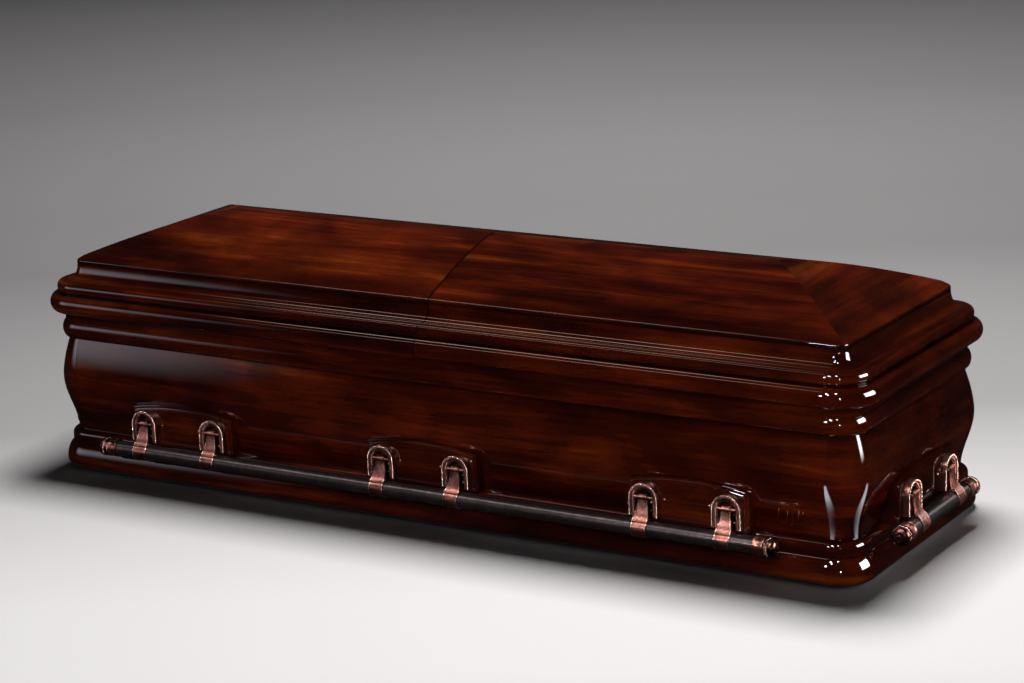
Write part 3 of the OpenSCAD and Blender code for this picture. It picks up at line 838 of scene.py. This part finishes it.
def trim_tree(name):
    """Sets a small bead on every point, turned by the point's along and out directions."""
    tree = bpy.data.node_groups.new(name, "GeometryNodeTree")

    def add(kind, **settings):
        node = tree.nodes.new(kind)
        for key, value in settings.items():
            setattr(node, key, value)
        return node

    io = tree.interface
    for key, kind in (("Geometry", "Geometry"), ("Length", "Float"), ("Width", "Float"),
                      ("Height", "Float"), ("Slant", "Float"), ("Material", "Material")):
        io.new_socket(key, in_out="INPUT", socket_type="NodeSocket" + kind)
    io.new_socket("Geometry", in_out="OUTPUT", socket_type="NodeSocketGeometry")
    given, result = add("NodeGroupInput"), add("NodeGroupOutput")
    unit = add("GeometryNodeMeshUVSphere")
    unit.inputs["Segments"].default_value = 10
    unit.inputs["Rings"].default_value = 6
    unit.inputs["Radius"].default_value = 0.5
    along, out = (add("GeometryNodeInputNamedAttribute", data_type="FLOAT_VECTOR") for _ in range(2))
    along.inputs["Name"].default_value = "along"
    out.inputs["Name"].default_value = "out"
    axes = add("FunctionNodeAxesToRotation", primary_axis="Z", secondary_axis="X")
    slant = add("ShaderNodeCombineXYZ")
    turn = add("FunctionNodeRotateRotation", rotation_space="LOCAL")
    to_turn = add("FunctionNodeEulerToRotation")
    size = add("ShaderNodeCombineXYZ")
    spread = add("GeometryNodeInstanceOnPoints")
    real = add("GeometryNodeRealizeInstances")
    paint = add("GeometryNodeSetMaterial")
    smooth = add("GeometryNodeSetShadeSmooth")
    link = tree.links.new
    link(out.outputs["Attribute"], axes.inputs["Primary Axis"])
    link(along.outputs["Attribute"], axes.inputs["Secondary Axis"])
    link(given.outputs["Slant"], slant.inputs["Z"])
    link(slant.outputs[0], to_turn.inputs[0])
    link(axes.outputs[0], turn.inputs["Rotation"])
    link(to_turn.outputs[0], turn.inputs["Rotate By"])
    for key, axis in (("Length", "X"), ("Width", "Y"), ("Height", "Z")):
        link(given.outputs[key], size.inputs[axis])
    link(given.outputs["Geometry"], spread.inputs["Points"])
    link(unit.outputs["Mesh"], spread.inputs["Instance"])
    link(turn.outputs[0], spread.inputs["Rotation"])
    link(size.outputs[0], spread.inputs["Scale"])
    link(spread.outputs[0], real.inputs[0])
    link(real.outputs[0], smooth.inputs[0])
    link(smooth.outputs[0], paint.inputs["Geometry"])
    link(given.outputs["Material"], paint.inputs["Material"])
    link(paint.outputs[0], result.inputs[0])
    return tree


BEAD_TRIM = trim_tree("bead_trim")


def trim(name, spots, length, width, height, slant, material, body):
    """One mesh of trim for one body. spots are (point, along, out)."""
    mesh = bpy.data.meshes.new(name + "_points")
    mesh.from_pydata([p for p, _, _ in spots], [], [])
    for key, place in (("along", 1), ("out", 2)):
        attribute = mesh.attributes.new(key, "FLOAT_VECTOR", "POINT")
        attribute.data.foreach_set("vector", [c for s in spots for c in s[place]])
    source = add_object(name + "_points", mesh)
    modifier = source.modifiers.new("trim", "NODES")
    modifier.node_group = BEAD_TRIM
    values = {"Length": length, "Width": width, "Height": height, "Slant": slant, "Material": material}
    for item in BEAD_TRIM.interface.items_tree:
        if item.in_out == "INPUT" and item.name in values:
            modifier[item.identifier] = values[item.name]
    bpy.context.view_layer.update()
    shaped = bpy.data.meshes.new_from_object(source.evaluated_get(bpy.context.evaluated_depsgraph_get()))
    bpy.data.objects.remove(source)
    shaped.name = name
    return finish_piece(add_object(name, shaped), body, "copper")


def frame_of(side):
    """Along and out directions of a side."""
    o = on_side(side, 0, 0, 0)
    return (on_side(side, 1, 0, 0) - o), (on_side(side, 0, 1, 0) - o)


def horseshoe_spots(r, depth, spacing):
    """Spots evenly along the rim's line at radius r, on every lug: tangent as along, outward as out."""
    spots = []
    centre, low = PIN_Z + LUG_TOP - LUG_R, PIN_Z - LUG_LEG + 0.0015
    length = 2 * (centre - low) + math.pi * r
    count = round(length / spacing)
    for side, x in STATIONS.values():
        ax, out = frame_of(side)
        for way in (-1, 1):
            middle = x + way * LUG_PITCH / 2
            for i in range(count + 1):
                s = length * i / count
                if s < centre - low:
                    px, pz, tx, tz = -r, low + s, 0, 1
                elif s > length - (centre - low):
                    px, pz, tx, tz = r, low + (length - s), 0, -1
                else:
                    t = (s - (centre - low)) / r
                    px, pz, tx, tz = -r * math.cos(t), centre + r * math.sin(t), math.sin(t), math.cos(t)
                tangent = ax * tx + Vector((0, 0, tz))
                spots.append((on_side(side, middle + px, PLATE_O + depth, pz), tangent, out))
    return spots


trim("lug_rope_trim", horseshoe_spots(0.0326, 0.0133, 0.0030), 0.0044, 0.0026, 0.0034, 0.75,
     COPPER_BRIGHT, "casket")
trim("lug_flutes", horseshoe_spots(0.0256, 0.0117, 0.0027), 0.0015, 0.0068, 0.0020, 0.0, COPPER, "casket")

screws, rosettes = [], []
for side, x in STATIONS.values():
    ax, out = frame_of(side)
    for way in (-1, 1):
        middle = x + way * LUG_PITCH / 2
        for pz in (0.013, -0.012, -0.030):
            for px in (-0.0145, 0.0145):
                rosettes.append((on_side(side, middle + px, PLATE_O + 0.0035, PIN_Z + pz), ax, out))
        screws.append((on_side(side, middle - way * 0.0450, PLATE_O + 0.0004, PIN_Z - 0.002), ax, out))
trim("plate_screws", screws, 0.0050, 0.0050, 0.0026, 0.0, COPPER_BRIGHT, "casket")
trim("lug_screws", rosettes, 0.0056, 0.0056, 0.0040, 0.0, COPPER, "casket")

for side in SIDES:
    ax, out = frame_of(side)
    half = BAR_HALF[side]
    spots = []
    for way in (-1, 1):
        for distance, radius, count in ((0.0272, 0.0163, 34), (0.0345, 0.0205, 40)):
            for t in turns(count):
                away = out * math.cos(t) + Vector((0, 0, math.sin(t)))
                tangent = -out * math.sin(t) + Vector((0, 0, math.cos(t)))
                centre = on_side(side, way * (half + distance), BAR_O, BAR_Z)
                spots.append((centre + away * radius, tangent, away))
    trim("tip_rope_" + side, spots, 0.0038, 0.0021, 0.0026, 0.7, COPPER_BRIGHT, "swing_" + side)

# ---- pieces kept from the frame

KEPT = {"bottom_board": BOARD, "lid_head_rail": RAIL, "lid_foot_rail": RAIL}
KEPT.update({f"hinge_{lid}_{part}": STEEL for lid in ("head", "foot") for part in ("box", "lid")})
for node, material in KEPT.items():
    slots = NODES[node].data.materials
    if slots:
        for i in range(len(slots)):
            NODES[node].material_slots[i].material = material
    else:
        slots.append(material)

# ---- floor, lights and camera


def floor_material():
    """Pale paper with painted shade: darker away from the front, and in every direction far from the casket.
    """
    n = Nodes("floor_pale")
    place = n.add("TexCoord").outputs["Object"]
    nearness = n.add("VectorMath", operation="DOT_PRODUCT")
    n.feed(nearness.inputs[0], place)
    nearness.inputs[1].default_value = (0.5226, -0.8526, 0)
    way = n.math("DIVIDE", n.math("ADD", nearness.outputs["Value"], 8.0), 10.0, clamp=True)
    # painted light and shade: bright in front of the casket and darker behind it
    colour = n.ramp(way, (0.0, 0.74), (0.28, 0.40), (0.49, 0.250), (0.57, 0.215), (0.745, 0.335),
                    (0.875, 0.85), (0.92, 0.95))
    far = n.add("VectorMath", operation="LENGTH")
    n.feed(far.inputs[0], place)
    # painted shade far from the casket
    fade = n.ramp(n.math("DIVIDE", far.outputs["Value"], 20.0), (0.25, 1.0), (0.9, 0.25))
    colour = n.mix(1.0, n.mix(1.0, colour, fade, "MULTIPLY"), (1.0, 0.965, 0.965, 1), "MULTIPLY")
    return n.set(Base_Color=colour, Roughness=0.8, Specular_IOR_Level=0.1)


FLOOR_HALF, FLOOR_Z = 30, -0.0004
floor = make_object("floor", [(x * FLOOR_HALF, y * FLOOR_HALF, FLOOR_Z)
                              for x, y in ((-1, -1), (1, -1), (1, 1), (-1, 1))],
                    [(0, 1, 2, 3)], [floor_material()])
floor.visible_glossy = False

world = bpy.data.worlds.new("studio")
bpy.context.scene.world = world
world.use_nodes = True
sky = world.node_tree.nodes
room = sky["Background"]
room.inputs["Color"].default_value = (0.62, 0.61, 0.62, 1)
seen = sky.new("ShaderNodeLightPath")
level_of = sky.new("ShaderNodeMapRange")
level_of.inputs["To Min"].default_value = 0.008
level_of.inputs["To Max"].default_value = 0.02
world.node_tree.links.new(seen.outputs["Is Glossy Ray"], level_of.inputs["Value"])
world.node_tree.links.new(level_of.outputs[0], room.inputs["Strength"])


def softbox(name, place, target, width, height, power, colour=(1, 1, 1), soft=0.0, shine=True,
            glow=True, only=(), but=()):
    """A studio light; soft is the share of its width over which it fades out towards its edges.
    shine says whether it shows in polished surfaces, and glow whether it lights the rest. It lights
    everything, or only some objects, or everything but some."""
    data = bpy.data.lights.new(name, "AREA")
    data.shape, data.size, data.size_y = "RECTANGLE", width, height
    data.energy, data.color = power, colour
    if soft:
        data.use_nodes = True
        add, link = data.node_tree.nodes.new, data.node_tree.links.new
        split, both = add("ShaderNodeSeparateXYZ"), add("ShaderNodeMath")
        both.operation = "MULTIPLY"
        link(add("ShaderNodeNewGeometry").outputs["Parametric"], split.inputs[0])
        for i, axis in enumerate("XY"):
            near, fade = add("ShaderNodeMath"), add("ShaderNodeMapRange")
            near.operation = "PINGPONG"
            near.inputs[1].default_value = 0.5
            fade.interpolation_type = "SMOOTHSTEP"
            fade.inputs["From Max"].default_value = soft
            link(split.outputs[axis], near.inputs[0])
            link(near.outputs[0], fade.inputs["Value"])
            link(fade.outputs[0], both.inputs[i])
        link(both.outputs[0], data.node_tree.nodes["Emission"].inputs["Strength"])
    lamp = add_object(name, data)
    lamp.location = place
    lamp.rotation_euler = (Vector(place) - Vector(target)).to_track_quat("Z", "Y").to_euler()
    lamp.visible_camera = False
    lamp.visible_glossy = shine
    lamp.visible_diffuse = glow
    if only or but:
        chosen = bpy.data.collections.new(name + "_lights")
        for obj in only or but:
            chosen.objects.link(obj)
        if but:
            for entry in chosen.collection_objects:
                entry.light_linking.link_state = "EXCLUDE"
        lamp.light_linking.receiver_collection = chosen
    return lamp


NEAR_CORNER = (1.0, -0.3, 0.4)


def toward(azimuth, elevation, distance):
    """A place at that distance from the near corner of the casket, with its direction in degrees."""
    a, e = math.radians(azimuth), math.radians(elevation)
    heading = Vector((math.cos(e) * math.cos(a), math.cos(e) * math.sin(a), math.sin(e)))
    return Vector(NEAR_CORNER) + distance * heading


METALS = {COPPER, COPPER_BRIGHT, COPPER_DARK, BRONZE, STEEL}
metal_pieces = [o for o in bpy.data.objects if o.type == "MESH" and METALS & set(o.data.materials)]

softbox("key_overhead", (-0.25, 1.55, 5.0), (-0.25, 1.3, 0), 2.3, 2.3, 390, shine=False)
softbox("front_fill", (2.2, -4.5, 3.0), (0.1, 0, 0.3), 3.0, 2.0, 125, shine=False, but=[floor])
softbox("metal_strip", (-0.7, -1.9, 3.0), (-0.7, -0.4, 0.1), 5.2, 0.6, 48, only=metal_pieces)
softbox("metal_end", (2.2, 3.0, 1.5), (1.08, 0, 0.1), 1.2, 0.8, 9, only=metal_pieces)
softbox("metal_room", (1.6, -4.6, 1.6), (0.5, -0.3, 0.2), 3.6, 2.4, 5, only=metal_pieces)
softbox("head_side_wall", (-4.6, -3.6, 1.5), (-0.3, -0.3, 0.5), 3.4, 3.0, 88, (0.97, 0.90, 1.0), 0.45,
        glow=False)
posts = [bpy.data.objects["corner_front_foot_wood"]]
softbox("foot_end_window", (4.6, 0.9, 1.2), NEAR_CORNER, 2.3, 1.9, 440, glow=False, but=posts)
softbox("post_window", (4.5, 0.9, 1.25), NEAR_CORNER, 1.3, 1.9, 230, soft=0.35, glow=False, only=posts)
softbox("bead_strip", (-1.4, -1.85, 3.1), (-1.4, -0.35, 0.3), 2.9, 0.2, 13, (1.0, 0.80, 0.66), 0.3,
        glow=False)
softbox("edge_strip", (-1.45, 0.15, 3.2), (-1.45, 0.12, 0), 2.7, 0.45, 26, (1.0, 0.76, 0.60), 0.3,
        glow=False)
LAMPS = ((-112, 18, 0.24), (-104, 43, 0.28), (-76, 51, 0.22), (-97, 34, 0.20), (-64, 3, 0.16))
LAMP_AWAY, LAMP_WATTS = 3.6, 600    # metres off, and watts for each square metre
for k, (azimuth, elevation, width) in enumerate(LAMPS):
    softbox(f"front_lamp_{k}", toward(azimuth, elevation, LAMP_AWAY), NEAR_CORNER, width, width,
            LAMP_WATTS * width ** 2, glow=False, but=posts)
for name, azimuth, power in (("front", -113, 1.6), ("end", 30, 1.1)):
    spot = toward(azimuth, 0, 0.38)
    card = softbox("low_card_" + name, (spot.x, spot.y, 0.02), NEAR_CORNER, 0.56, 0.10, power,
                   (0.90, 0.90, 1.0), 0.3, glow=False, only=posts)
    card.rotation_euler = (math.pi, 0, math.radians(azimuth))

bpy.context.scene.view_settings.view_transform = "Standard"

EYE = Vector((3.3459, -5.4035, 2.0135))
YAW, PITCH, ROLL = 0.54946, 0.25773, -0.03667     # radians
ahead = Vector((-math.sin(YAW) * math.cos(PITCH), math.cos(YAW) * math.cos(PITCH), -math.sin(PITCH)))
level = Vector((math.cos(YAW), math.sin(YAW), 0))
upward = level.cross(ahead)
right = math.cos(ROLL) * level + math.sin(ROLL) * upward
top = -math.sin(ROLL) * level + math.cos(ROLL) * upward
lens = bpy.data.cameras.new("camera")
lens.sensor_width = 36
lens.lens = 101.03
camera = add_object("camera", lens)
camera.matrix_world = Matrix(((right.x, top.x, -ahead.x, EYE.x), (right.y, top.y, -ahead.y, EYE.y),
                              (right.z, top.z, -ahead.z, EYE.z), (0, 0, 0, 1)))
bpy.context.scene.camera = camera
